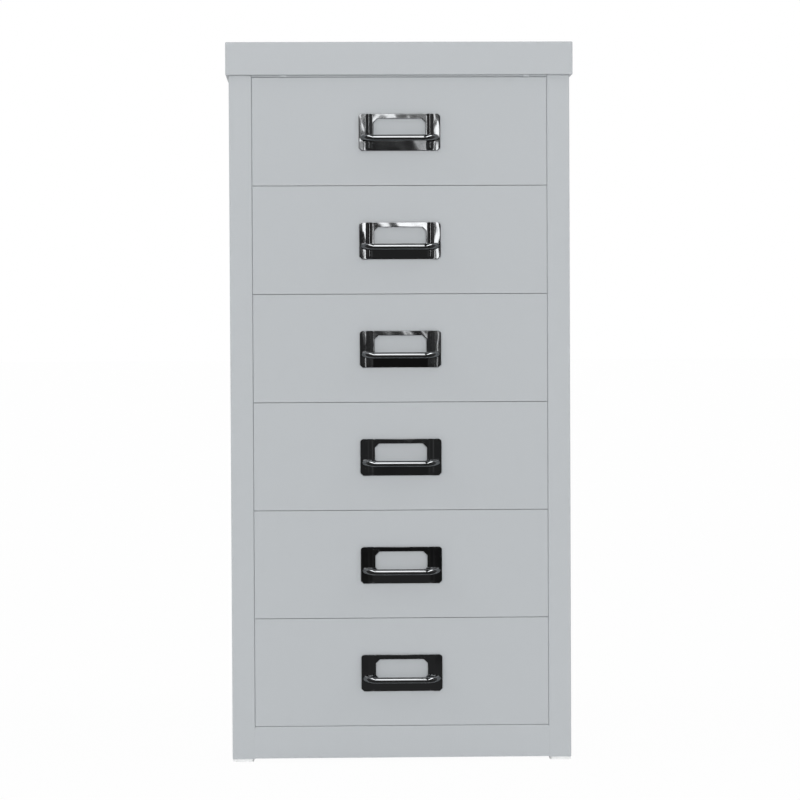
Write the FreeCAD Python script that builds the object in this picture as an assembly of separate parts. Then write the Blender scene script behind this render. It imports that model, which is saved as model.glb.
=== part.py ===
"""Small steel drawer cabinet: a folded carcass with six shallow drawers on hooked runners.

Units are millimetres. X runs to the right as one faces the drawers, Y runs from the drawers to the
back, and Z is up. The origin is on the floor, under the middle of the whole object. Drawer 1 is the top one.
"""

import FreeCAD, Part
import math
import os

# Driving sizes of the whole cabinet
body_width = 279.0
body_depth = 380.0
overall_height = 590.0
drawer_count = 6

# Sheet metal and the clearances that the pieces share
carcass_sheet = 1.0
drawer_sheet = 0.8
fold_radius = 0.15
running_clearance = 0.3
fit_clearance = 0.1
seam_gap = 0.05
cut_overrun = 2.0

# Feet: square plastic glides snapped into the corners of the carcass
foot_height = 2.4
foot_side = 17.2
foot_corner_radius = 3.0
foot_inset = 0.3
foot_stem_radius = 3.6
foot_head_radius = 4.4
foot_head_height = 1.6

# Side panels: one folded sheet each, whose front fold is the visible stile
stile_width = 18.75
stile_return = 12.0
rear_flange = 15.0
bottom_flange = 18.0

# Top cap: a lid whose skirts stand proud of the carcass and are hemmed inward at their foot
cap_height = 27.0
cap_overhang = 2.6
cap_corner_radius = 1.2
cap_top_radius = 0.8
cap_hem_radius = 0.8

# Front rail, whose foot shows under the cap, with two small lugs that come forward over the top drawer
rail_drawer_gap = 0.2
rail_setback = 0.1
rail_depth = 16.0
rail_tab_width = 5.0
rail_tab_reach = 1.6
rail_tab_drop = 0.05
rail_tab_left_inset = 26.15
rail_tab_right_inset = 16.55

# Base pan and the plinth panel in front of it
plinth_height = 26.6
plinth_ground_gap = 0.3
plinth_drawer_gap = 0.2
plinth_flange = 16.0
base_upstand = 10.0

# Back panel, inside the rear flanges of the sides
back_side_gap = 0.8
back_top_gap = 0.4
back_flange = 10.0

# Uprights: slotted channels that carry the runners
upright_width = 20.0
upright_depth = 16.2
upright_front_setback = 14.0
upright_rear_gap = 30.0
upright_top_gap = 5.0

# Runners: channels that hold the rolled lips of a drawer
runner_ledge = 8.0
runner_keeper = 7.0
runner_height = 8.0
hook_width = 8.0
hook_drop = 4.0
stop_height = 2.4
stop_length = 2.0

# Drawer fronts: folded pans, flush with the stiles
front_side_gap = 0.1
front_gap = 0.35
front_top_slot = 1.8
front_depth = 12.0
front_edge_radius = 0.3
front_flange = 15.0

# Drawer trays
tray_side_gap = 1.0
tray_rear_gap = 23.0
tray_lift = 5.0
tray_drop = 11.0
lip_side_gap = 1.4
lip_return = 3.5
rear_lip = 7.0
catch_length = 8.0
catch_inset = 0.8
catch_rear_gap = 32.7

# Handle plates: pressed label frames
plate_width = 66.6
plate_height = 30.2
plate_thickness = 1.8
plate_drop = 0.8
plate_top_radius = 2.6
plate_foot_chamfer = 2.2
plate_edge_radius = 0.3
window_side_margin = 11.95
window_chamfer = 3.4
window_top_band = 3.8
window_foot_band = 10.0
flute_side_inset = 8.3
flute_radius = 3.1
flute_rise = 0.8
flute_foot_gap = 0.3
flute_notch_radius = 0.5
label_pocket_depth = 0.7
label_pocket_margin = 1.6

# Pull hoops: a round bar with its arms running back and a little up to the frame
hoop_side_inset = 3.6
hoop_corner_radius = 9.8
bar_radius = 2.45
bar_reach = 11.6
bar_drop = 5.0
hoop_rise = 0.8
spigot_radius = 1.6
spigot_length = 4.6

# Spring clips on the spigots, behind the drawer front
clip_radius = 5.0
clip_thickness = 0.5
clip_dish = 0.9

# Fixings
rivet_head_radius = 3.2
rivet_head_height = 1.1
rivet_shank_radius = 1.6
rivet_tail_radius = 2.3
rivet_tail_length = 2.2
rivet_rows = 4
rivet_end_margin = 40.0
screw_head_radius = 3.6
screw_head_height = 2.0
screw_shank_radius = 1.9
screw_length = 7.0
screw_cross_reach = 2.4
screw_cross_width = 0.9
screw_side_inset = 44.5
screw_drop = 14.0

# Places that follow from the sizes above
half_body = body_width / 2
half_opening = half_body - stile_width
bar_front = bar_reach + bar_radius
front_y = (bar_front - body_depth - cap_overhang - screw_head_height) / 2
back_y = front_y + body_depth
carcass_foot = foot_height
inner_x = half_body - carcass_sheet
cap_underside = overall_height - carcass_sheet
cap_foot = overall_height - cap_height
pan_top = carcass_foot + 2 * carcass_sheet
plinth_top = carcass_foot + plinth_height
drawer_pitch = (cap_foot - front_top_slot + front_gap - plinth_top - plinth_drawer_gap) / drawer_count
front_height = drawer_pitch - front_gap
front_half_width = half_opening - front_side_gap
upright_face_x = inner_x - upright_depth
upright_rear_setback = body_depth - upright_rear_gap - upright_width
runner_inner_x = upright_face_x - carcass_sheet
runner_front_y = front_y + upright_front_setback
stop_rear_y = runner_front_y + stop_length
tray_half_width = runner_inner_x - runner_ledge - tray_side_gap
tray_height = front_height - tray_lift - tray_drop
tray_front_y = front_y + front_depth
tray_rear_y = back_y - tray_rear_gap
runner_rear_y = tray_rear_y + running_clearance + carcass_sheet
catch_y = tray_rear_y - catch_rear_gap - catch_length
drawer_travel = catch_y - stop_rear_y - running_clearance
lip_half_width = runner_inner_x - lip_side_gap
plate_face_y = front_y - plate_thickness
window_half_width = plate_width / 2 - window_side_margin
flute_x = plate_width / 2 - flute_side_inset
flute_half_width = math.sqrt(flute_rise * (2 * flute_radius - flute_rise))
hoop_half_width = plate_width / 2 - hoop_side_inset
screw_x = half_body - screw_side_inset


def vector(x, y, z):
    """A point or a direction."""
    return FreeCAD.Vector(x, y, z)


def block(x0, x1, y0, y1, z0, z1):
    """A box between two corners."""
    return Part.makeBox(x1 - x0, y1 - y0, z1 - z0, vector(x0, y0, z0))


def rod(radius, start, direction, length):
    """A cylinder from a start point along a direction."""
    return Part.makeCylinder(radius, length, start, direction)


def mirrored(shape):
    """The same piece for the other side of the cabinet."""
    return shape.mirror(vector(0, 0, 0), vector(1, 0, 0))


def rounded(shape, radius, chosen):
    """The shape with a radius on each straight edge that the test picks by its two ends."""
    straight = [edge for edge in shape.Edges if len(edge.Vertexes) == 2]
    edges = [edge for edge in straight if chosen(*(end.Point for end in edge.Vertexes))]
    return shape.makeFillet(radius, edges)


def folded(points, sheet, plane, start, end):
    """A folded strip of sheet: its middle line is drawn in a plane, and the strip runs from start to end."""
    place = {
        "xy": lambda u, v: vector(u, v, start),
        "xz": lambda u, v: vector(u, start, v),
        "yz": lambda u, v: vector(start, u, v),
    }[plane]
    along = {"xy": vector(0, 0, 1), "xz": vector(0, 1, 0), "yz": vector(1, 0, 0)}[plane]
    half = sheet / 2
    middle = [vector(u, v, 0) for u, v in points]
    sides = {1: [], -1: []}
    for side in sides:
        first = (middle[1] - middle[0]).normalize()
        here = middle[0] + vector(-first.y, first.x, 0) * half * side
        for before, corner, after in zip(middle, middle[1:], middle[2:]):
            inward = (corner - before).normalize()
            outward = (after - corner).normalize()
            turn = math.atan2(inward.x * outward.y - inward.y * outward.x, inward.dot(outward))
            hand = math.copysign(1, turn)
            radius = fold_radius + half
            back = radius * math.tan(abs(turn) / 2)
            left_in = vector(-inward.y, inward.x, 0)
            left_out = vector(-outward.y, outward.x, 0)
            centre = corner - inward * back + left_in * radius * hand
            reach = radius - half * side * hand
            start_arc = centre - left_in * reach * hand
            end_arc = centre - left_out * reach * hand
            middle_arc = centre - (left_in + left_out).normalize() * reach * hand
            sides[side].append(("line", here, start_arc))
            sides[side].append(("arc", start_arc, middle_arc, end_arc))
            here = end_arc
        last = (middle[-1] - middle[-2]).normalize()
        sides[side].append(("line", here, middle[-1] + vector(-last.y, last.x, 0) * half * side))
    pieces = sides[1] + sides[-1]
    pieces.append(("line", sides[1][0][1], sides[-1][0][1]))
    pieces.append(("line", sides[1][-1][-1], sides[-1][-1][-1]))
    edges = []
    for kind, *ends in pieces:
        placed = [place(point.x, point.y) for point in ends]
        edges.append((Part.LineSegment(*placed) if kind == "line" else Part.Arc(*placed)).toShape())
    face = Part.Face(Part.Wire(Part.__sortEdges__(edges)))
    return face.extrude(along * (end - start))


def drawer_foot(number):
    """The height of the lower edge of a drawer's front; drawer 1 is at the top."""
    return plinth_top + plinth_drawer_gap + (drawer_count - number) * drawer_pitch


def foot_place():
    """The middle of the rear right foot, as far from the cabinet's middle as every foot is."""
    across = half_body - foot_inset - foot_side / 2
    return across, front_y + foot_inset + foot_side / 2, back_y - foot_inset - foot_side / 2


def side_panel():
    """The right side: stile return, stile, side and rear flange in one sheet, with a flange at its foot."""
    half = carcass_sheet / 2
    points = [
        (half_opening + half, front_y + stile_return),
        (half_opening + half, front_y + half),
        (half_body - half, front_y + half),
        (half_body - half, back_y - half),
        (half_body - rear_flange, back_y - half),
    ]
    panel = folded(points, carcass_sheet, "xy", carcass_foot, cap_underside)
    foot = block(
        half_body - bottom_flange, inner_x, front_y + carcass_sheet, back_y - carcass_sheet,
        carcass_foot, carcass_foot + carcass_sheet,
    )
    panel = panel.fuse(foot).removeSplitter()
    across, near, far = foot_place()
    for y in (near, far):
        hole = rod(foot_stem_radius + fit_clearance, vector(across, y, carcass_foot - cut_overrun),
                   vector(0, 0, 1), carcass_sheet + 2 * cut_overrun)
        panel = panel.cut(hole)
    for height in rivet_heights():
        panel = panel.cut(rivet_hole(height))
    return panel


def top_cap():
    """The lid: a top with four skirts, open below, and a hem that closes each skirt in to the carcass."""
    half = half_body + cap_overhang
    outer = block(-half, half, front_y - cap_overhang, back_y + cap_overhang, cap_foot, overall_height)
    outer = rounded(outer, cap_corner_radius, lambda a, b: abs(a.z - b.z) > cap_height / 2)
    outer = outer.makeFillet(cap_top_radius, edges_at_height(outer, overall_height))
    outer = outer.makeFillet(cap_hem_radius, edges_at_height(outer, cap_foot))
    inner = half - carcass_sheet
    hollow = block(
        -inner, inner, front_y - cap_overhang + carcass_sheet, back_y + cap_overhang - carcass_sheet,
        cap_foot + carcass_sheet, cap_underside,
    )
    hem = half_body + running_clearance
    mouth = block(
        -hem, hem, front_y - running_clearance, back_y + running_clearance,
        cap_foot - cut_overrun, cap_underside,
    )
    cap = outer.cut(hollow).cut(mouth)
    for x in (-screw_x, screw_x):
        cap = cap.cut(screw_hole(x))
    return cap


def edges_at_height(shape, height):
    """The edges that lie wholly at one height."""
    flat = fit_clearance / 2
    return [
        edge for edge in shape.Edges
        if abs(edge.BoundBox.ZMin - height) < flat and abs(edge.BoundBox.ZMax - height) < flat
    ]


def top_rail():
    """The channel across the top of the drawer opening, with the two lugs that show over the top drawer."""
    half = carcass_sheet / 2
    face = front_y + rail_setback
    foot = cap_foot - front_top_slot + rail_drawer_gap
    points = [
        (face + rail_depth, foot + half),
        (face + half, foot + half),
        (face + half, cap_underside - half),
        (face + rail_depth, cap_underside - half),
    ]
    rail = folded(points, carcass_sheet, "yz", -half_opening, half_opening)
    for x in (rail_tab_left_inset - half_opening, half_opening - rail_tab_right_inset):
        tab = block(
            x - rail_tab_width / 2, x + rail_tab_width / 2, front_y - rail_tab_reach, face + carcass_sheet,
            foot - rail_tab_drop, cap_foot - fit_clearance,
        )
        rail = rail.fuse(tab)
    return rail.removeSplitter()


def plinth_panel():
    """The low front panel under the drawers, folded back at its top. Its ends are welded to the stiles, and
    the seams are dressed flush over the stiles' rounded edges."""
    half = carcass_sheet / 2
    foot = carcass_foot + plinth_ground_gap
    points = [
        (front_y + half, foot),
        (front_y + half, plinth_top - half),
        (front_y + plinth_flange, plinth_top - half),
    ]
    panel = folded(points, carcass_sheet, "yz", -half_opening, half_opening)
    bend = fold_radius + carcass_sheet
    seam = block(half_opening, half_opening + bend, front_y, front_y + carcass_sheet, foot, plinth_top - bend)
    seam = seam.cut(rod(bend + seam_gap, vector(half_opening + bend, front_y + bend, foot - cut_overrun),
                        vector(0, 0, 1), plinth_height + cut_overrun))
    return panel.fuse(seam).fuse(mirrored(seam)).removeSplitter()


def base_pan():
    """The bottom of the carcass: a tray on the foot flanges of the sides, turned up front and back."""
    half = carcass_sheet / 2
    front = front_y + carcass_sheet + half
    back = back_y - 2 * carcass_sheet - half
    level = carcass_foot + carcass_sheet + half
    points = [
        (front, level + base_upstand),
        (front, level),
        (back, level),
        (back, level + base_upstand),
    ]
    pan = folded(points, carcass_sheet, "yz", -inner_x, inner_x)
    notch = block(
        half_opening - running_clearance, inner_x + cut_overrun,
        front_y, front_y + stile_return + running_clearance, carcass_foot, level + base_upstand + cut_overrun,
    )
    pan = pan.cut(notch).cut(mirrored(notch))
    across, near, far = foot_place()
    for x in (-across, across):
        for y in (near, far):
            pan = pan.cut(rod(foot_head_radius + running_clearance, vector(x, y, carcass_foot),
                              vector(0, 0, 1), base_upstand))
    return pan


def back_panel():
    """The back: a flat sheet behind the upstand of the base pan, turned forward at its top."""
    half = carcass_sheet / 2
    level = back_y - carcass_sheet - half
    top = cap_underside - back_top_gap
    points = [
        (level, carcass_foot + carcass_sheet),
        (level, top - half),
        (level - back_flange, top - half),
    ]
    reach = inner_x - back_side_gap
    panel = folded(points, carcass_sheet, "yz", -reach, reach)
    for height in rivet_heights():
        hole = rivet_hole(height)
        panel = panel.cut(hole).cut(mirrored(hole))
    for x in (-screw_x, screw_x):
        panel = panel.cut(screw_hole(x))
    return panel


def rivet_heights():
    """The heights of the rivets down each rear flange."""
    low = carcass_foot + rivet_end_margin
    step = (cap_foot - rivet_end_margin - low) / (rivet_rows - 1)
    return [low + step * row for row in range(rivet_rows)]


def rivet_x():
    """How far the rivets stand from the middle: half-way across the rear flange."""
    return half_body - rear_flange / 2


def rivet_hole(height):
    """A cutter for one rivet, through the flange and the back panel."""
    near = back_y - 2 * carcass_sheet - cut_overrun
    return rod(rivet_shank_radius + fit_clearance, vector(rivet_x(), near, height), vector(0, 1, 0),
               2 * carcass_sheet + 2 * cut_overrun)


def back_rivets():
    """Blind rivets that join the back panel to the two sides, as separate solids."""
    rivets = []
    x = rivet_x()
    inside_y = back_y - 2 * carcass_sheet
    back = vector(0, 1, 0)
    ball = (rivet_head_radius ** 2 + rivet_head_height ** 2) / (2 * rivet_head_height)
    for height in rivet_heights():
        head = Part.makeSphere(ball, vector(x, back_y + rivet_head_height - ball, height))
        head = head.common(block(x - ball, x + ball, back_y, back_y + ball, height - ball, height + ball))
        shank = rod(rivet_shank_radius, vector(x, inside_y, height), back, 2 * carcass_sheet)
        tail_end = vector(x, inside_y - rivet_tail_length, height)
        tail = rod(rivet_tail_radius, tail_end, back, rivet_tail_length)
        rivet = head.fuse([shank, tail]).removeSplitter()
        rivets += [rivet, mirrored(rivet)]
    return rivets


def screw_hole(x):
    """A cutter for a cap screw, through the rear skirt of the cap and the back panel."""
    near = back_y - 2 * carcass_sheet - cut_overrun
    deep = cap_overhang + 2 * carcass_sheet + 2 * cut_overrun
    start = vector(x, near, overall_height - screw_drop)
    return rod(screw_shank_radius + fit_clearance, start, vector(0, 1, 0), deep)


def cap_screws():
    """The two pan-head screws that hold the cap from the back, as separate solids."""
    screws = []
    face = back_y + cap_overhang
    height = overall_height - screw_drop
    back = vector(0, 1, 0)
    half_cross = screw_cross_width / 2
    for x in (-screw_x, screw_x):
        head = rod(screw_head_radius, vector(x, face, height), back, screw_head_height)
        outer = [edge for edge in head.Edges if edge.BoundBox.YMin > face]
        head = head.makeFillet(screw_head_height / 2, outer)
        for across, up in ((screw_cross_reach, half_cross), (half_cross, screw_cross_reach)):
            head = head.cut(block(
                x - across, x + across, face + screw_head_height / 2, face + screw_head_height + cut_overrun,
                height - up, height + up,
            ))
        shank = rod(screw_shank_radius, vector(x, face - screw_length, height), back, screw_length)
        screws.append(head.fuse(shank).removeSplitter())
    return screws


def foot(x, y):
    """A square glide under a corner, with a stem and a snap head through the flange."""
    half = foot_side / 2
    up = vector(0, 0, 1)
    pad = block(x - half, x + half, y - half, y + half, 0, foot_height)
    pad = rounded(pad, foot_corner_radius, lambda a, b: abs(a.z - b.z) > foot_height / 2)
    stem = rod(foot_stem_radius, vector(x, y, foot_height), up, carcass_sheet + running_clearance)
    seat = vector(x, y, foot_height + carcass_sheet + fit_clearance)
    head = rod(foot_head_radius, seat, up, foot_head_height)
    return pad.fuse([stem, head]).removeSplitter()


def runner_level(number):
    """The height of the top of a runner's ledge, just under the rolled lip of its drawer."""
    return drawer_foot(number) + tray_lift + tray_height - lip_return - running_clearance


def hook_places():
    """Where each runner hooks into the front and rear uprights."""
    setbacks = (upright_front_setback, upright_rear_setback)
    return [front_y + setback + upright_width / 2 for setback in setbacks]


def upright(setback):
    """A right upright: a channel open to the side panel, with a slot for the hook of each runner."""
    half = carcass_sheet / 2
    near = front_y + setback
    far = near + upright_width
    points = [
        (inner_x, near + half),
        (upright_face_x + half, near + half),
        (upright_face_x + half, far - half),
        (inner_x, far - half),
    ]
    channel = folded(points, carcass_sheet, "xy", pan_top, cap_foot - upright_top_gap)
    middle = near + upright_width / 2
    for number in range(1, drawer_count + 1):
        level = hook_level(number)
        slot = block(
            upright_face_x - cut_overrun, upright_face_x + carcass_sheet + cut_overrun,
            middle - hook_width / 2 - running_clearance, middle + hook_width / 2 + running_clearance,
            level, level + carcass_sheet + hook_drop + running_clearance,
        )
        channel = channel.cut(slot)
    return channel


def hook_level(number):
    """The height of the underside of a runner's hook."""
    return runner_level(number) + runner_height / 2


def runner(number):
    """A right runner: ledge, web and keeper in one strip, a stop at each end and two hooks."""
    half = carcass_sheet / 2
    level = runner_level(number)
    web = upright_face_x - half
    top = level + runner_height
    points = [
        (runner_inner_x - runner_keeper, top - half),
        (web, top - half),
        (web, level - half),
        (runner_inner_x - runner_ledge, level - half),
    ]
    strip = folded(points, carcass_sheet, "xz", runner_front_y, runner_rear_y)
    keeper_foot = top - carcass_sheet
    front_stop = block(
        runner_inner_x - runner_keeper, runner_inner_x, runner_front_y, runner_front_y + stop_length,
        keeper_foot - stop_height, keeper_foot + half,
    )
    rear_stop = block(
        runner_inner_x - runner_keeper, runner_inner_x, runner_rear_y - carcass_sheet, runner_rear_y,
        level - half, keeper_foot - running_clearance,
    )
    strip = strip.fuse([front_stop, rear_stop])
    under = hook_level(number)
    for middle in hook_places():
        tongue = block(
            upright_face_x - half, upright_face_x + 2 * carcass_sheet + running_clearance,
            middle - hook_width / 2, middle + hook_width / 2, under, under + carcass_sheet,
        )
        barb = block(
            upright_face_x + carcass_sheet + running_clearance,
            upright_face_x + 2 * carcass_sheet + running_clearance,
            middle - hook_width / 2, middle + hook_width / 2, under - hook_drop, under + carcass_sheet,
        )
        strip = strip.fuse([tongue, barb])
    return strip.removeSplitter()


def drawer_front(number):
    """The face of a drawer: a shallow pan with its edges folded back and turned in to meet the tray."""
    foot = drawer_foot(number)
    top = foot + front_height
    pan = block(-front_half_width, front_half_width, front_y, front_y + front_depth, foot, top)
    face = [edge for edge in pan.Edges if edge.BoundBox.YMax < front_y + front_depth / 2]
    pan = pan.makeFillet(front_edge_radius, face)
    hollow = block(
        drawer_sheet - front_half_width, front_half_width - drawer_sheet,
        front_y + drawer_sheet, front_y + front_depth - drawer_sheet, foot + drawer_sheet, top - drawer_sheet,
    )
    mouth = block(
        front_flange - front_half_width, front_half_width - front_flange,
        front_y + front_depth / 2, front_y + front_depth + cut_overrun,
        foot + front_flange, top - front_flange,
    )
    pan = pan.cut(hollow).cut(mouth)
    for x in (-hoop_half_width, hoop_half_width):
        pan = pan.cut(spigot_hole(number, x))
    return pan


def tray_outline():
    """The middle line of a tray's section: lip, side, bottom, side and lip."""
    half = drawer_sheet / 2
    side = tray_half_width - half
    lip = lip_half_width - half
    top = tray_lift + tray_height - half
    right = [
        (side, tray_lift + half),
        (side, top),
        (lip, top),
        (lip, tray_lift + tray_height - lip_return),
    ]
    return [(-x, z) for x, z in reversed(right)] + right


def drawer_tray(number):
    """The tray: bottom, sides and rolled lips in one strip, with a front and a back wall welded in."""
    foot = drawer_foot(number)
    points = [(x, foot + z) for x, z in tray_outline()]
    tray = folded(points, drawer_sheet, "xz", tray_front_y, tray_rear_y)
    corner = fold_radius + drawer_sheet
    low = foot + tray_lift
    top = low + tray_height
    for near in (tray_front_y, tray_rear_y - drawer_sheet):
        wall = block(-tray_half_width, tray_half_width, near, near + drawer_sheet, low, top)
        wall = rounded(wall, corner, lambda a, b: abs(a.y - b.y) > drawer_sheet / 2 and a.z < low + corner)
        tray = tray.fuse(wall)
    shelf = block(-tray_half_width, tray_half_width, tray_rear_y - drawer_sheet, tray_rear_y + rear_lip,
                  top - drawer_sheet, top)
    tray = tray.fuse(shelf)
    keeper_foot = runner_level(number) + runner_height - carcass_sheet
    catch = block(
        tray_half_width + catch_inset, lip_half_width - catch_inset, catch_y, catch_y + catch_length,
        top - drawer_sheet / 2, keeper_foot - running_clearance,
    )
    return tray.fuse([catch, mirrored(catch)]).removeSplitter()


def plate_middle(number):
    """The height of the middle of a handle plate."""
    return drawer_foot(number) + front_height / 2 - plate_drop


def spigot_height(number):
    """The height of the two spigots of a hoop."""
    return plate_middle(number) - bar_drop + hoop_rise


def spigot_hole(number, x):
    """A cutter for a spigot, from before the handle plate to behind the drawer front."""
    start = vector(x, plate_face_y - cut_overrun, spigot_height(number))
    deep = plate_thickness + drawer_sheet + 2 * cut_overrun
    return rod(spigot_radius + fit_clearance, start, vector(0, 1, 0), deep)


def plate_outline(middle, y):
    """The outline of the handle plate: round top corners and cut foot corners."""
    half = plate_width / 2
    top = middle + plate_height / 2
    low = middle - plate_height / 2
    slant = plate_top_radius * (1 - math.sqrt(1 / 2))
    corners = [
        (half, low + plate_foot_chamfer),
        (half, top - plate_top_radius),
        (half - plate_top_radius, top),
        (plate_top_radius - half, top),
        (-half, top - plate_top_radius),
        (-half, low + plate_foot_chamfer),
        (plate_foot_chamfer - half, low),
        (half - plate_foot_chamfer, low),
    ]
    placed = [vector(x, y, z) for x, z in corners]
    edges = []
    for index, point in enumerate(placed):
        following = placed[(index + 1) % len(placed)]
        if index in (1, 3):
            side = 1 if index == 1 else -1
            bulge = vector(side * (half - slant), y, top - slant)
            edges.append(Part.Arc(point, bulge, following).toShape())
        else:
            edges.append(Part.LineSegment(point, following).toShape())
    return Part.Face(Part.Wire(edges))


def window_cutter(middle):
    """A cutter for the label window, with its four corners cut off."""
    half = window_half_width
    top = middle + plate_height / 2 - window_top_band
    low = middle - plate_height / 2 + window_foot_band
    cut = window_chamfer
    corners = [
        (half - cut, low), (half, low + cut), (half, top - cut), (half - cut, top),
        (cut - half, top), (-half, top - cut), (-half, low + cut), (cut - half, low),
    ]
    y = plate_face_y - flute_rise - cut_overrun
    placed = [vector(x, y, z) for x, z in corners]
    deep = plate_thickness + flute_rise + 2 * cut_overrun
    return Part.Face(Part.makePolygon(placed + placed[:1])).extrude(vector(0, deep, 0))


def flute(x, middle):
    """One upright bead of a handle plate, domed at its foot and open at the top edge of the plate."""
    y = plate_face_y - flute_rise + flute_radius
    low = middle - plate_height / 2 + flute_foot_gap
    high = middle + plate_height / 2
    foot = low + flute_half_width
    bead = rod(flute_radius, vector(x, y, foot), vector(0, 0, 1), high - foot)
    bead = bead.fuse(Part.makeSphere(flute_radius, vector(x, y, foot)))
    back = front_y - label_pocket_depth
    return bead.common(block(x - flute_radius, x + flute_radius, y - flute_radius, back, low, high))


def handle_plate(number):
    """The pressed label frame: a plate with a window, a card pocket behind it and two upright flutes."""
    middle = plate_middle(number)
    top = middle + plate_height / 2
    plate = plate_outline(middle, plate_face_y).extrude(vector(0, plate_thickness, 0))
    face = [edge for edge in plate.Edges if edge.BoundBox.YMax < plate_face_y + plate_thickness / 2]
    plate = plate.makeFillet(plate_edge_radius, face)
    for x in (-flute_x, flute_x):
        plate = plate.fuse(flute(x, middle))
        for side in (-1, 1):
            beside = x + side * (flute_half_width + flute_notch_radius)
            plate = plate.cut(rod(flute_notch_radius, vector(beside, plate_face_y - flute_radius, top),
                                  vector(0, 1, 0), flute_radius + plate_thickness + cut_overrun))
    pocket = block(
        -window_half_width - label_pocket_margin, window_half_width + label_pocket_margin,
        front_y - label_pocket_depth, front_y + cut_overrun,
        middle - plate_height / 2 + window_foot_band - label_pocket_margin, top + cut_overrun,
    )
    plate = plate.cut(window_cutter(middle)).cut(pocket)
    for x in (-hoop_half_width, hoop_half_width):
        plate = plate.cut(spigot_hole(number, x))
    return plate.removeSplitter()


def hoop_path(number):
    """The middle line of a hoop: up one arm, across the bar and up the other arm, in one slanted plane."""
    bar_z = plate_middle(number) - bar_drop
    bar_y = front_y - bar_reach
    root_y = front_y - plate_thickness
    length = math.hypot(root_y - bar_y, hoop_rise)
    up = vector(0, root_y - bar_y, hoop_rise) * (1 / length)
    bar = vector(0, bar_y, bar_z)
    across = vector(1, 0, 0)
    corner = hoop_corner_radius
    slant = corner * (1 - math.sqrt(1 / 2))
    overrun = bar_radius * 2

    def spot(x, along):
        return bar + across * x + up * along

    half = hoop_half_width
    edges = [
        Part.LineSegment(spot(-half, length + overrun), spot(-half, corner)),
        Part.Arc(spot(-half, corner), spot(slant - half, slant), spot(corner - half, 0)),
        Part.LineSegment(spot(corner - half, 0), spot(half - corner, 0)),
        Part.Arc(spot(half - corner, 0), spot(half - slant, slant), spot(half, corner)),
        Part.LineSegment(spot(half, corner), spot(half, length + overrun)),
    ]
    return Part.Wire([edge.toShape() for edge in edges]), spot(-half, length + overrun), up


def pull_hoop(number):
    """The pull: a round bar bent to a hoop, cut flat where it meets the plate, with a spigot on each arm."""
    path, start, up = hoop_path(number)
    section = Part.Wire([Part.Circle(start, up, bar_radius).toShape()])
    hoop = path.makePipeShell([section], True, False)
    middle = plate_middle(number)
    keep = block(-plate_width, plate_width, front_y - 2 * bar_reach, plate_face_y,
                 middle - plate_height, middle + plate_height)
    hoop = hoop.common(keep)
    for x in (-hoop_half_width, hoop_half_width):
        spigot = rod(spigot_radius, vector(x, plate_face_y - bar_radius, spigot_height(number)),
                     vector(0, 1, 0), bar_radius + spigot_length)
        hoop = hoop.fuse(spigot)
    return hoop.removeSplitter()


def hoop_clips(number):
    """The two dished spring clips behind a drawer front, as separate solids."""
    clips = []
    behind = front_y + drawer_sheet
    height = spigot_height(number)
    outline = [
        (spigot_radius + fit_clearance / 2, clip_dish),
        (spigot_radius + fit_clearance / 2, clip_dish + clip_thickness),
        (clip_radius, clip_thickness),
        (clip_radius, 0),
    ]
    for x in (-hoop_half_width, hoop_half_width):
        placed = [vector(x + reach, behind + depth, height) for reach, depth in outline]
        face = Part.Face(Part.makePolygon(placed + placed[:1]))
        clips.append(face.revolve(vector(x, behind, height), vector(0, 1, 0), 360))
    return clips


def pieces():
    """Every piece by name, as the list of its solids."""
    across, near, far = foot_place()
    made = {
        "side_panel_right": [side_panel()],
        "side_panel_left": [mirrored(side_panel())],
        "back_panel": [back_panel()],
        "top_cap": [top_cap()],
        "top_rail": [top_rail()],
        "base_pan": [base_pan()],
        "plinth_panel": [plinth_panel()],
        "back_rivets": back_rivets(),
        "cap_screws": cap_screws(),
    }
    for end, setback in (("front", upright_front_setback), ("rear", upright_rear_setback)):
        post = upright(setback)
        made[f"upright_{end}_right"] = [post]
        made[f"upright_{end}_left"] = [mirrored(post)]
    for end, y in (("front", near), ("rear", far)):
        made[f"foot_{end}_right"] = [foot(across, y)]
        made[f"foot_{end}_left"] = [foot(-across, y)]
    for number in range(1, drawer_count + 1):
        rail = runner(number)
        made[f"runner_right_{number}"] = [rail]
        made[f"runner_left_{number}"] = [mirrored(rail)]
        made[f"drawer_front_{number}"] = [drawer_front(number)]
        made[f"drawer_tray_{number}"] = [drawer_tray(number)]
        made[f"handle_plate_{number}"] = [handle_plate(number)]
        made[f"pull_hoop_{number}"] = [pull_hoop(number)]
        made[f"hoop_clips_{number}"] = hoop_clips(number)
    return made


def main():
    os.makedirs("parts", exist_ok=True)
    made = pieces()
    for name, solids in made.items():
        shape = solids[0] if len(solids) == 1 else Part.makeCompound(solids)
        if not shape.isValid():
            print("not valid:", name)
        print(name, len(shape.Solids), "solid,", round(shape.Volume / 1000, 2), "cm3")
        shape.exportStep(f"parts/{name}.step")
    print(len(made), "pieces, and each drawer travels", round(drawer_travel, 3), "mm")


main()
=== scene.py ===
import math

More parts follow.
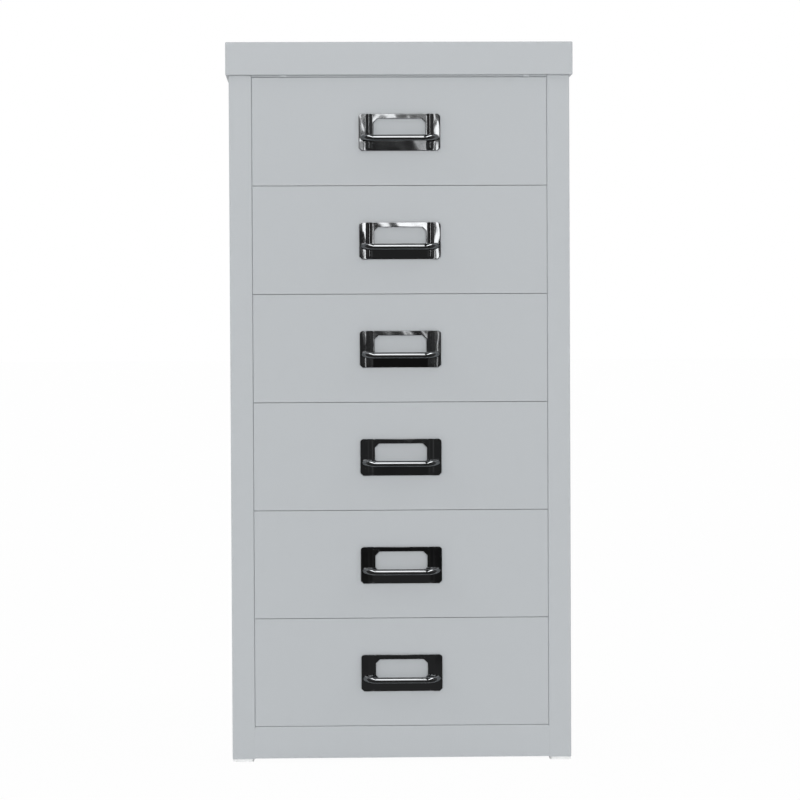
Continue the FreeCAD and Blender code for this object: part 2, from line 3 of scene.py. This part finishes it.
import bpy
import numpy as np
from mathutils import Matrix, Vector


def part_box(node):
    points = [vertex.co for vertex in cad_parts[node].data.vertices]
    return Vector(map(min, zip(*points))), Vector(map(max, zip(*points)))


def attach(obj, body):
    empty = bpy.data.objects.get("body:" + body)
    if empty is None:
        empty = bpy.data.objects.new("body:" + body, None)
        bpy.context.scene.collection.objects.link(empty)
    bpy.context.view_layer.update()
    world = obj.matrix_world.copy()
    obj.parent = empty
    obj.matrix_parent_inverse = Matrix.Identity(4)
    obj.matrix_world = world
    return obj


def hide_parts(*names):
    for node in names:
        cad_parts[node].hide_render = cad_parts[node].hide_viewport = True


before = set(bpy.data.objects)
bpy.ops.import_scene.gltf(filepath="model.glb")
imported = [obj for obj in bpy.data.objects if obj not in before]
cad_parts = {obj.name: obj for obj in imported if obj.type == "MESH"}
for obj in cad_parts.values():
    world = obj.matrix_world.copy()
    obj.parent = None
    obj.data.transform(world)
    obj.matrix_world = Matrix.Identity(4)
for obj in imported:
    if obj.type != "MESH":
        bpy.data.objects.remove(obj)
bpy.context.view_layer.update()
scene = bpy.context.scene
scene.view_settings.view_transform = "Standard"


# Side panels, back, base pan, rail, plinth and uprights
# The carcass is folded from 1 mm steel and powder coated inside and out in one light grey. A baked
# powder coat is very slightly dimpled, like fine orange peel, and half matt.
carcass_grey = (0.497, 0.521, 0.540)
coat_tone = 0.008
coat_cloud_scale = 7.0
coat_grain_scale = 420.0
coat_peel_scale = 650.0
coat_roughness = (0.40, 0.50)
coat_dimple = 0.00003
coat_gloss = 0.15
carcass_nodes = [
    "side_panel_left", "side_panel_right", "back_panel", "top_rail", "base_pan", "plinth_panel",
    "upright_front_left", "upright_front_right", "upright_rear_left", "upright_rear_right",
]


def new_finish(name):
    """A material with nodes: returns it with its node tree and its Principled shader."""
    made = bpy.data.materials.new(name)
    made.use_nodes = True
    return made, made.node_tree, made.node_tree.nodes["Principled BSDF"]


def add_node(tree, kind, values=(), **settings):
    """Adds one node, with its settings, and the values of the inputs that are named."""
    node = tree.nodes.new("ShaderNode" + kind)
    for key, value in settings.items():
        setattr(node, key, value)
    for key, value in dict(values).items():
        node.inputs[key].default_value = value
    return node


def object_noise(tree, scale, detail, stretch=(1, 1, 1)):
    """Noise on the piece's own coordinates: scale is in repeats a metre, and stretch squeezes it by axis."""
    place = add_node(tree, "TexCoord")
    squeeze = add_node(tree, "Mapping", {"Scale": stretch})
    noise = add_node(tree, "TexNoise", {"Scale": scale, "Detail": detail})
    tree.links.new(place.outputs["Object"], squeeze.inputs["Vector"])
    tree.links.new(squeeze.outputs["Vector"], noise.inputs["Vector"])
    return noise.outputs["Fac"]


def spread(tree, source, low, high):
    """Maps a 0 to 1 pattern to a range of values."""
    node = add_node(tree, "MapRange", {"To Min": low, "To Max": high})
    tree.links.new(source, node.inputs["Value"])
    return node.outputs["Result"]


def two_tone(tree, source, first, second):
    """Mixes two colours by a pattern."""
    node = add_node(tree, "Mix", data_type="RGBA")
    node.inputs["A"].default_value = (*first, 1)
    node.inputs["B"].default_value = (*second, 1)
    tree.links.new(source, node.inputs["Factor"])
    return node.outputs["Result"]


def dimples(tree, shader, source, height):
    """Raises the surface by a pattern, to a height in metres."""
    bump = add_node(tree, "Bump", {"Strength": 1.0, "Distance": height})
    tree.links.new(source, bump.inputs["Height"])
    tree.links.new(bump.outputs["Normal"], shader.inputs["Normal"])


def shade_of(colour, factor):
    """The same colour, lighter or darker."""
    return tuple(channel * factor for channel in colour)


def powder_coat(name, grey):
    """Powder coat: a faintly cloudy tone, millimetre dimples and a gloss that varies a little."""
    made, tree, shader = new_finish(name)
    cloud = object_noise(tree, coat_cloud_scale, 2.0)
    clouded = two_tone(tree, cloud, shade_of(grey, 1 - coat_tone), shade_of(grey, 1 + coat_tone))
    tree.links.new(clouded, shader.inputs["Base Color"])
    grain = object_noise(tree, coat_grain_scale, 3.0)
    tree.links.new(spread(tree, grain, *coat_roughness), shader.inputs["Roughness"])
    dimples(tree, shader, object_noise(tree, coat_peel_scale, 1.0), coat_dimple)
    shader.inputs["Specular IOR Level"].default_value = coat_gloss
    return made


def paint_nodes(nodes, finish):
    """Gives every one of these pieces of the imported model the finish."""
    for node in nodes:
        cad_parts[node].material_slots[0].material = finish


paint_nodes(carcass_nodes, powder_coat("carcass_powder_coat", carcass_grey))


# Top cap
# A separate lid of the same steel, coated in the same grey. Its edges are turned down and hemmed, and two
# screws at the back hold it on the carcass.
paint_nodes(["top_cap"], powder_coat("cap_powder_coat", carcass_grey))


# Corner feet
# Square glides moulded in white polythene. Each has a stem with a snap head, which is pressed into the
# foot flanges of the carcass from below.
foot_white = (0.86, 0.87, 0.87)
foot_shade = 0.96
foot_cloud_scale = 90.0
foot_roughness = (0.35, 0.50)
foot_grain_scale = 2200.0
foot_grain = 0.00002


def moulded_white(name):
    """Moulded polythene: waxy, with faint flow clouds and a fine spark-eroded grain."""
    made, tree, shader = new_finish(name)
    cloud = object_noise(tree, foot_cloud_scale, 2.0)
    clouded = two_tone(tree, cloud, shade_of(foot_white, foot_shade), foot_white)
    tree.links.new(clouded, shader.inputs["Base Color"])
    tree.links.new(spread(tree, cloud, *foot_roughness), shader.inputs["Roughness"])
    dimples(tree, shader, object_noise(tree, foot_grain_scale, 2.0), foot_grain)
    return made


paint_nodes([f"foot_{end}_{side}" for end in ("front", "rear") for side in ("left", "right")],
            moulded_white("foot_polythene"))


# Runners
# Channels rolled from zinc-plated strip, which hang by hooks in the uprights. The drawer lips slide along
# them and leave fine bright lines.
zinc_pale = (0.62, 0.63, 0.64)
zinc_dark = (0.47, 0.48, 0.50)
zinc_spangle_scale = 60.0
zinc_line_scale = 900.0
zinc_line_depth = 0.00001
zinc_roughness = (0.26, 0.46)
drawn_along = (1, 0.02, 1)
not_drawn = (1, 1, 1)


def zinc_plate(name, along):
    """Zinc plate: a bluish grey metal with lines drawn along one axis, and spangle clouds."""
    made, tree, shader = new_finish(name)
    lines = object_noise(tree, zinc_line_scale, 3.0, stretch=along)
    spangles = object_noise(tree, zinc_spangle_scale, 3.0)
    tree.links.new(two_tone(tree, spangles, zinc_dark, zinc_pale), shader.inputs["Base Color"])
    tree.links.new(spread(tree, lines, *zinc_roughness), shader.inputs["Roughness"])
    dimples(tree, shader, lines, zinc_line_depth)
    shader.inputs["Metallic"].default_value = 1.0
    return made


paint_nodes([f"runner_{side}_{number}" for side in ("left", "right") for number in range(1, 7)],
            zinc_plate("runner_zinc", drawn_along))


# Cap screws, back rivets and hoop clips
# Small fixings of zinc-plated steel: pan-head screws hold the cap and blind rivets the back panel, and
# dished spring clips hold the pulls from behind the fronts.
paint_nodes(["cap_screws", "back_rivets"] + [f"hoop_clips_{number}" for number in range(1, 7)],
            zinc_plate("fixing_zinc", not_drawn))


# Drawer fronts and trays
# Six drawers of 0.8 mm steel, each a folded front welded to a tray. They were coated on another line than
# the carcass and are a hair darker.
drawer_shade = 0.985
drawer_grey = shade_of(carcass_grey, drawer_shade)
paint_nodes([f"drawer_{part}_{number}" for part in ("front", "tray") for number in range(1, 7)],
            powder_coat("drawer_powder_coat", drawer_grey))


# Handle plates
# A label frame pressed from thin steel and plated in dark chrome: a window with cut corners, an upright
# bead on each side of it, a band below the window that leans back for the fingers, and rolled edges.
mm = 0.001
plate_half_width = 33.3
plate_half_height = 15.1
plate_corner = 2.6
plate_cut = 2.2
plate_depth = 1.8
plate_edge = 0.3
window_half_width = 21.35
window_top = 11.3
window_low = -5.1
window_cut = 3.4
window_edge = 0.4
bead_middle = 25.0
bead_radius = 3.1
bead_rise = 0.8
bead_half_width = math.sqrt(bead_rise * (2 * bead_radius - bead_rise))
bead_blend = 0.15
pocket_depth = 0.7
pocket_margin = 1.6
scoop_slope = 0.073
scoop_start = 0.8
scoop_edge = 26.2
scoop_fade = 0.35
notch_radius = 0.5
crown_middle = 30.4
crown_half_width = 2.6
crown_drop = 0.035
crown_limit = 0.06
outline_counts = [84, 16, 220, 16, 84, 14, 220, 14]
wave_phase = 2.4
wave_calm = 0.7
broad_wave = 0.055
broad_across = 5.2
broad_up = 6.5
broad_turn = 1.7
slant_wave = 0.022
slant_across = 2.6
slant_up = 4.1
slant_turn = 2.3
fine_wave = 0.018
fine_across = 7.0
fine_up = 2.9
chrome_tint = (0.202, 0.207, 0.212)
chrome_edge_tint = (0.5, 0.5, 0.5)
haze_scale = 110.0
haze_shade = 0.97
chrome_roughness = (0.03, 0.09)


def chrome(name):
    """Dark chrome plate: nearly a mirror, with faint haze where it has been wiped."""
    made, tree, shader = new_finish(name)
    haze = object_noise(tree, haze_scale, 3.0)
    hazed = two_tone(tree, haze, shade_of(chrome_tint, haze_shade), chrome_tint)
    tree.links.new(hazed, shader.inputs["Base Color"])
    tree.links.new(spread(tree, haze, *chrome_roughness), shader.inputs["Roughness"])
    shader.inputs["Metallic"].default_value = 1.0
    shader.inputs["Specular Tint"].default_value = (*chrome_edge_tint, 1)
    return made


def line_between(start, end, count):
    """Points from start towards end, without the end: start + share * (end - start)."""
    share = np.linspace(0, 1, count, endpoint=False)[:, None]
    return np.array(start) + share * (np.array(end) - np.array(start))


def plate_outlines():
    """The window's outline and the plate's outline as matched loops of points, anticlockwise from the
    right: eight runs, each as many points on both, with a quarter circle at the plate's top corners and a
    half-round notch in the top edge on both sides of each bead."""
    side, top, low, cut = window_half_width, window_top, window_low, window_cut
    wide, high, round_off, chamfer = plate_half_width, plate_half_height, plate_corner, plate_cut
    inner = [(side, low + cut), (side, top - cut), (side - cut, top), (cut - side, top),
             (-side, top - cut), (-side, low + cut), (cut - side, low), (side - cut, low)]
    outer = [(wide, chamfer - high), (wide, high - round_off), (wide - round_off, high),
             (round_off - wide, high), (-wide, high - round_off), (-wide, chamfer - high),
             (chamfer - wide, -high), (wide - chamfer, -high)]
    loops = []
    for corners, arcs in ((inner, ()), (outer, (1, 3))):
        runs = []
        for index, count in enumerate(outline_counts):
            run = line_between(corners[index], corners[(index + 1) % 8], count)
            if index in arcs:
                angle = np.linspace(0, math.pi / 2, count, endpoint=False) + (index - 1) * math.pi / 4
                centre = np.array([math.copysign(wide - round_off, corners[index][0]), high - round_off])
                run = centre + round_off * np.stack([np.cos(angle), np.sin(angle)], 1)
            runs.append(run)
        loops.append(np.concatenate(runs))
    beside = np.abs(np.abs(np.abs(loops[1][:, 0]) - bead_middle) - bead_half_width - notch_radius)
    notch = np.sqrt(np.clip(notch_radius ** 2 - beside ** 2, 0, None))
    loops[1][:, 1] -= np.where(loops[1][:, 1] > high - notch_radius, notch, 0)
    return loops


def plate_waves(u, v, number):
    """The slight unevenness of a pressed sheet: three sets of sine waves of 0.02 to 0.06 mm, whose phase
    changes with the number of the drawer. Below the window they fade to a third, by a power of e."""
    phase = wave_phase * number
    calm = 1 - wave_calm * (v < window_low) * (1 - np.exp(np.minimum(v - window_low, 0)))
    broad = broad_wave * np.sin(u / broad_across + phase) * np.cos(v / broad_up + broad_turn * phase)
    slant = slant_wave * np.sin(u / slant_across + v / slant_up + slant_turn * phase)
    fine = fine_wave * np.cos(v / fine_up - u / fine_across + phase)
    return calm * (broad + slant + fine)


def plate_front(u, v, number):
    """How far the plate's front stands out at a place: the sheet, less the scoop, joined smoothly to the
    beads. Below the window the sheet leans back to a steady slope, which starts off as one less a power of e
    and ends at the beads by a logistic curve. The flanges outside the beads are crowned by a square.
    A bead is a cylinder with a ball at its foot; the join is the log of a sum of powers."""
    below = np.clip(window_low - v, 0, None)
    scoop = scoop_slope * (below - scoop_start * (1 - np.exp(-below / scoop_start)))
    scoop /= 1 + np.exp((np.abs(u) - scoop_edge) / scoop_fade)
    flange = (np.abs(u) - crown_middle) / crown_half_width
    crown = crown_drop * flange ** 2 * (np.abs(u) > crown_middle - crown_half_width)
    sheet = plate_depth - scoop - np.clip(crown, 0, crown_limit) + plate_waves(u, v, number)
    beyond = np.clip(-v - (plate_half_height - plate_edge - bead_half_width), 0, None)
    inside = bead_radius ** 2 - (np.abs(u) - bead_middle) ** 2 - beyond ** 2
    bead = plate_depth + bead_rise - bead_radius + np.sqrt(np.clip(inside, 0, None))
    bead = np.where(inside > 0, bead, -bead_radius)
    return bead_blend * np.logaddexp(sheet / bead_blend, bead / bead_blend)


def plate_grid(number, across=46, turn=7):
    """The plate as a closed band: for each point round the outlines, the section runs up the window's
    edge, round a quarter circle, across the front, round the outer quarter circle and back behind."""
    inner, outer = plate_outlines()
    reach = outer - inner
    length = np.linalg.norm(reach, axis=1)[:, None]
    angle = np.linspace(0, math.pi / 2, turn)[None, :]
    near = window_edge * (1 - np.cos(angle)) / length
    far = 1 - plate_edge * (1 - np.cos(angle[:, ::-1])) / length
    middle = np.linspace(0, 1, across + 2)[1:-1][None, :]
    middle = near[:, -1:] + middle * (far[:, :1] - near[:, -1:])
    share = np.concatenate([near, middle, far], axis=1)
    sink = np.concatenate([window_edge * (1 - np.sin(angle[0])), np.zeros(across),
                           plate_edge * (1 - np.sin(angle[0][::-1]))])
    u = inner[:, :1] + share * reach[:, :1]
    v = inner[:, 1:] + share * reach[:, 1:]
    front = plate_front(u, v, number) - sink
    behind = share[:, ::-3]
    back_u = inner[:, :1] + behind * reach[:, :1]
    back_v = inner[:, 1:] + behind * reach[:, 1:]
    pocket = (np.abs(back_u) < window_half_width + pocket_margin) & (back_v > window_low - pocket_margin)
    back = np.where(pocket, pocket_depth, 0.0)
    u, v = np.concatenate([u, back_u], 1), np.concatenate([v, back_v], 1)
    return np.stack([u, -np.concatenate([front, back], 1), v], axis=2)


def surface(name, grid, finish, body, node, closed_rows=True):
    """A smooth mesh from a grid of points: point (i, j) joins its neighbours. Each row closes on itself, and
    so do the rows unless told not to. It stands for a CAD node, and rides on that node's body."""
    rows, columns = grid.shape[:2]
    index = np.arange(rows * columns).reshape(rows, columns)
    if closed_rows:
        index = np.concatenate([index, index[:1]], axis=0)
    index = np.concatenate([index, index[:, :1]], axis=1)
    faces = np.stack([index[:-1, :-1], index[:-1, 1:], index[1:, 1:], index[1:, :-1]], axis=2).reshape(-1, 4)
    mesh = bpy.data.meshes.new(name)
    mesh.vertices.add(rows * columns)
    mesh.vertices.foreach_set("co", grid.reshape(-1))
    mesh.loops.add(faces.size)
    mesh.loops.foreach_set("vertex_index", faces.reshape(-1).astype(np.int32))
    mesh.polygons.add(len(faces))
    mesh.polygons.foreach_set("loop_start", np.arange(0, faces.size, 4, dtype=np.int32))
    mesh.polygons.foreach_set("use_smooth", np.ones(len(faces), dtype=bool))
    mesh.update(calc_edges=True)
    mesh.validate()
    mesh.materials.append(finish)
    made = bpy.data.objects.new(name, mesh)
    scene.collection.objects.link(made)
    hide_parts(node)
    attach(made, body)


def plate_place(number):
    """The middle of a handle plate on the face of its drawer, in metres."""
    low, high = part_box(f"handle_plate_{number}")
    return np.array([(low.x + high.x) / 2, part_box(f"drawer_front_{number}")[0].y, (low.z + high.z) / 2])


plate_chrome = chrome("plate_chrome")
for number in range(1, 7):
    grid = plate_grid(number) * mm + plate_place(number)
    surface(f"label_plate_{number}", grid, plate_chrome, f"drawer_{number}",
            f"handle_plate_{number}")


# Pull hoops
# Each pull is a round bar of about 5 mm, bent to a flat hoop and chromed. Its two arms run back through
# the plate, where they are turned down to spigots that the spring clips hold.
bar_radius = 2.45
bar_forward = 11.6
bar_below = 5.0
bar_rise = 0.8
arm_offset = 29.7
bend_radius = bar_forward - plate_depth
bar_lean = math.atan2(bar_rise, bend_radius)
spigot_radius = 1.6
spigot_back = 2.8
arm_step = 0.3
bend_points = 36
bar_points = 40
ring_points = 40


def hoop_line():
    """The bar's middle line from one side of the plate to the other: a quarter circle out from the plate,
    the straight bar, and the same quarter circle mirrored, all leaning down a little to the front."""
    angle = np.linspace(0, math.pi / 2, bend_points)
    bend_x = arm_offset - bend_radius * (1 - np.cos(angle))
    bend_t = bend_radius * (1 - np.sin(angle))
    x = np.concatenate([bend_x, np.linspace(bend_x[-1], 0, bar_points)[1:]])
    t = np.concatenate([bend_t, np.zeros(bar_points - 1)])
    x = np.concatenate([x, -x[-2::-1]])
    t = np.concatenate([t, t[-2::-1]])
    return np.stack([x, -bar_forward + t * math.cos(bar_lean), -bar_below + t * math.sin(bar_lean)], axis=1)


def hoop_grid():
    """The bar as rings carried along its line: centre + radius * (cos a * side + sin a * up), with the
    rings closed to a point at both ends and narrowed to the spigots behind the plate."""
    line = hoop_line()
    spigot = line[[0, 0, 0, 0, 0, -1, -1, -1, -1, -1]]
    back = np.array([0.0, 0.0, 0.0, spigot_back + plate_depth, spigot_back + plate_depth])
    spigot[:, 1] += np.concatenate([back, back])
    radii = np.array([bar_radius - arm_step, spigot_radius, spigot_radius, spigot_radius, 0.0])
    centre = np.concatenate([spigot[4::-1], line, spigot[5:]])
    radius = np.concatenate([radii[::-1], np.full(len(line), bar_radius), radii])
    along = np.gradient(line, axis=0)
    along = np.concatenate([np.repeat(along[:1], 5, axis=0), along, np.repeat(along[-1:], 5, axis=0)])
    along /= np.linalg.norm(along, axis=1)[:, None]
    up = np.array([0.0, -math.sin(bar_lean), math.cos(bar_lean)])
    side = np.cross(up, along)
    angle = np.linspace(0, 2 * math.pi, ring_points, endpoint=False)
    ring = np.cos(angle)[None, :, None] * side[:, None, :] + np.sin(angle)[None, :, None] * up
    return centre[:, None, :] + radius[:, None, None] * ring


bar_chrome = chrome("bar_chrome")
for number in range(1, 7):
    grid = hoop_grid() * mm + plate_place(number)
    surface(f"pull_bar_{number}", grid, bar_chrome, f"drawer_{number}", f"pull_hoop_{number}",
            closed_rows=False)


# The room
# A white floor that runs out to a white room, soft light from all round, two lamps from the front and one
# from each other side. The floor keeps a faint shadow. Grey and white glowing cards, which only mirrors see,
# paint the dark and bright reflections on the chrome.
def white_to_camera(tree, plain, share):
    """Mixes a shader by a share with the white that is joined to the mix afterwards, for what the camera
    and mirrors see directly. All other light meets the plain shader."""
    path = add_node(tree, "LightPath")
    seen = add_node(tree, "Math", operation="MAXIMUM")
    part = add_node(tree, "Math", {1: share}, operation="MULTIPLY")
    tree.links.new(path.outputs["Is Camera Ray"], seen.inputs[0])
    tree.links.new(path.outputs["Is Glossy Ray"], seen.inputs[1])
    tree.links.new(seen.outputs[0], part.inputs[0])
    mix = add_node(tree, "MixShader")
    tree.links.new(part.outputs[0], mix.inputs[0])
    tree.links.new(plain, mix.inputs[1])
    return mix


room_light = 0.36
floor_grey = (0.76, 0.76, 0.76)
floor_white_share = 0.97
floor_roughness = 0.8
floor_reach = 30
world = bpy.data.worlds.new("white_room")
scene.world = world
world.use_nodes = True
world_tree = world.node_tree
dim = world_tree.nodes["Background"]
dim.inputs["Color"].default_value = (1, 1, 1, 1)
dim.inputs["Strength"].default_value = room_light
bright = add_node(world_tree, "Background", {"Color": (1, 1, 1, 1), "Strength": 1.0})
world_mix = white_to_camera(world_tree, dim.outputs[0], 1.0)
world_tree.links.new(bright.outputs[0], world_mix.inputs[2])
world_tree.links.new(world_mix.outputs[0], world_tree.nodes["World Output"].inputs["Surface"])


def flat_card(name, corners, finish):
    """A flat sheet through four corners, part of the room."""
    mesh = bpy.data.meshes.new(name)
    mesh.from_pydata(corners, [], [(0, 1, 2, 3)])
    mesh.materials.append(finish)
    made = bpy.data.objects.new(name, mesh)
    scene.collection.objects.link(made)
    return made


floor_white, floor_tree, floor_shader = new_finish("floor_white")
floor_shader.inputs["Base Color"].default_value = (*floor_grey, 1)
floor_shader.inputs["Roughness"].default_value = floor_roughness
glow = add_node(floor_tree, "Emission", {"Color": (1, 1, 1, 1), "Strength": 1.0})
floor_mix = white_to_camera(floor_tree, floor_shader.outputs[0], floor_white_share)
floor_tree.links.new(glow.outputs[0], floor_mix.inputs[2])
floor_tree.links.new(floor_mix.outputs[0], floor_tree.nodes["Material Output"].inputs["Surface"])
flat_card("floor", [(-floor_reach, -floor_reach, 0), (floor_reach, -floor_reach, 0),
                    (floor_reach, floor_reach, 0), (-floor_reach, floor_reach, 0)], floor_white)


def painted_reflection_card(name, corners, strength, far_strength=None, axis="Z", span=(0, 1)):
    """A glowing card that only mirrors and gloss can see. It paints a reflection into the chrome and lights
    nothing. It may grade from one strength to another along an axis.
    """
    finish, tree, shader = new_finish(name)
    light = add_node(tree, "Emission", {"Color": (1, 1, 1, 1), "Strength": strength})
    if far_strength is not None:
        place = add_node(tree, "TexCoord")
        split = add_node(tree, "SeparateXYZ")
        grade = add_node(tree, "MapRange", {"From Min": span[0], "From Max": span[1], "To Min": strength,
                                            "To Max": far_strength})
        tree.links.new(place.outputs["Object"], split.inputs["Vector"])
        tree.links.new(split.outputs[axis], grade.inputs["Value"])
        tree.links.new(grade.outputs["Result"], light.inputs["Strength"])
    tree.links.new(light.outputs[0], tree.nodes["Material Output"].inputs["Surface"])
    made = flat_card(name, corners, finish)
    made.visible_camera = False
    made.visible_diffuse = False
    made.visible_transmission = False
    made.visible_shadow = False


def upright_reflection_card(name, left, right, low, high, y, strength, other_strength=None, axis="Z", span=None):
    """A glowing card, a painted reflection, that stands across the front, graded from its foot to its top or
    along X.
    """
    painted_reflection_card(name, [(left, y, low), (right, y, low), (right, y, high), (left, y, high)], strength,
                other_strength, axis, span or (low, high))


def level_reflection_card(name, side, near, far, height, strength, near_strength=None, span=(0, 1)):
    """A glowing card, a painted reflection, that lies level, from far in front to near the cabinet."""
    corners = [(-side, far, height), (side, far, height), (side, near, height), (-side, near, height)]
    painted_reflection_card(name, corners, strength, near_strength, "Y", span)


def side_reflection_card(name, x, low, high, strength):
    """A glowing card, a painted reflection, that closes one side of the front between two heights."""
    painted_reflection_card(name, [(x, -3.0, low), (x, 0.5, low), (x, 0.5, high), (x, -3.0, high)], strength)


# Places are in metres, and a strength of 1 is as bright as the room's white.
# The dark and grey cards glow faintly for mirrors only: a painted reflection of a dark room in the chrome,
# with painted grey patches.
upright_reflection_card("dark_reflection_wall", -2.6, 2.6, 0.0, 2.6, -3.0, 0.07, 0.05)
# The bright cards and the rim strips glow only for mirrors: painted highlights on the chrome, the bright line
# along the top of each bar and the thin line round its ends.
upright_reflection_card("bright_reflection_right", 0.11, 0.22, 0.44, 0.70, -2.9, 5.0)
upright_reflection_card("bright_reflection_right_foot", 0.112, 0.140, 0.26, 0.44, -2.9, 3.0)
upright_reflection_card("bright_reflection_middle", 0.03, 0.11, 0.49, 0.64, -2.9, 5.0)
upright_reflection_card("grey_reflection_foot", -0.05, 0.30, 0.30, 0.40, -2.95, 0.05, 0.45)
upright_reflection_card("bright_reflection_upper", -0.20, 0.05, 0.70, 0.80, -2.9, 4.5)
upright_reflection_card("grey_reflection_upper", 0.05, 0.30, 0.70, 0.80, -2.9, 1.4, 0.35, "X", (0.05, 0.11))
upright_reflection_card("grey_reflection_left", -0.20, 0.03, 0.49, 0.70, -2.95, 0.15, 0.5)
upright_reflection_card("bright_reflection_high_foot", -0.6, 0.12, 0.70, 0.76, -2.2, 0.60, 2.0)
upright_reflection_card("bright_reflection_high", -0.6, 0.12, 0.76, 2.40, -2.2, 4.6)
painted_reflection_card("bright_reflection_top", [(-0.6, -2.2, 2.4), (0.12, -2.2, 2.4), (0.12, -1.3, 2.4), (-0.6, -1.3, 2.4)], 4.6)
rim_reflection_glow = 8.0
for side in (-1, 1):
    foot_in, foot_out = [(x * side, -2.2, 0.85) for x in (0.42, 0.72)]
    bend_in, bend_out = [(x * side, -2.2, 2.4) for x in (1.15, 1.75)]
    end_in, end_out = [(x * side, 1.2, 2.4) for x in (0.85, 1.35)]
    painted_reflection_card(f"rim_reflection_wall_{side}", [foot_in, foot_out, bend_out, bend_in], rim_reflection_glow)
    painted_reflection_card(f"rim_reflection_top_{side}", [bend_in, bend_out, end_out, end_in], rim_reflection_glow)
# Faint cards below, above and beside the front: painted dark reflections in the chrome.
level_reflection_card("dark_reflection_floor", 2.6, -0.19, -3.0, 0.001, 0.025, 0.085, (-2.2, -0.6))
level_reflection_card("dark_reflection_ceiling", 2.6, 0.4, -3.0, 2.6, 0.06)
side_reflection_card("dark_reflection_left", -2.6, 0.0, 2.6, 0.12)
side_reflection_card("dark_reflection_right", 2.6, 0.0, 2.6, 0.16)


def soft_lamp(name, turn, height, strength, width):
    """A far lamp: how far round to the right it stands, how high it stands and how wide it looks are in
    degrees. Mirrors don't show it."""
    data = bpy.data.lights.new(name, "SUN")
    data.energy = strength
    data.angle = math.radians(width)
    lamp = bpy.data.objects.new(name, data)
    scene.collection.objects.link(lamp)
    lamp.rotation_euler = (math.radians(90 - height), 0, math.radians(turn))
    lamp.visible_glossy = False


soft_lamp("key_lamp", -14, 14, 0.79, 12)
soft_lamp("fill_lamp", 18, 10, 0.52, 14)
soft_lamp("left_lamp", -85, 40, 0.98, 40)
soft_lamp("right_lamp", 85, 40, 0.98, 40)
soft_lamp("back_lamp", 180, 12, 0.98, 30)


# The camera
# A long lens at nearly two and a half metres from the fronts, a little left of the cabinet's middle, at the
# height of its third drawer. It looks a little down and to the right.
camera_place = (-0.0644, -2.585275, 0.356)
camera_pan = -1.524
camera_dip = 1.409
camera_roll = -0.266
camera_data = bpy.data.cameras.new("camera")
camera_data.sensor_width = 36.0
camera_data.lens = 131.68
camera = bpy.data.objects.new("camera", camera_data)
scene.collection.objects.link(camera)
camera.matrix_world = (
    Matrix.Translation(camera_place)
    @ Matrix.Rotation(math.radians(camera_pan), 4, "Z")
    @ Matrix.Rotation(math.radians(90 - camera_dip), 4, "X")
    @ Matrix.Rotation(math.radians(camera_roll), 4, "Z")
)
scene.camera = camera
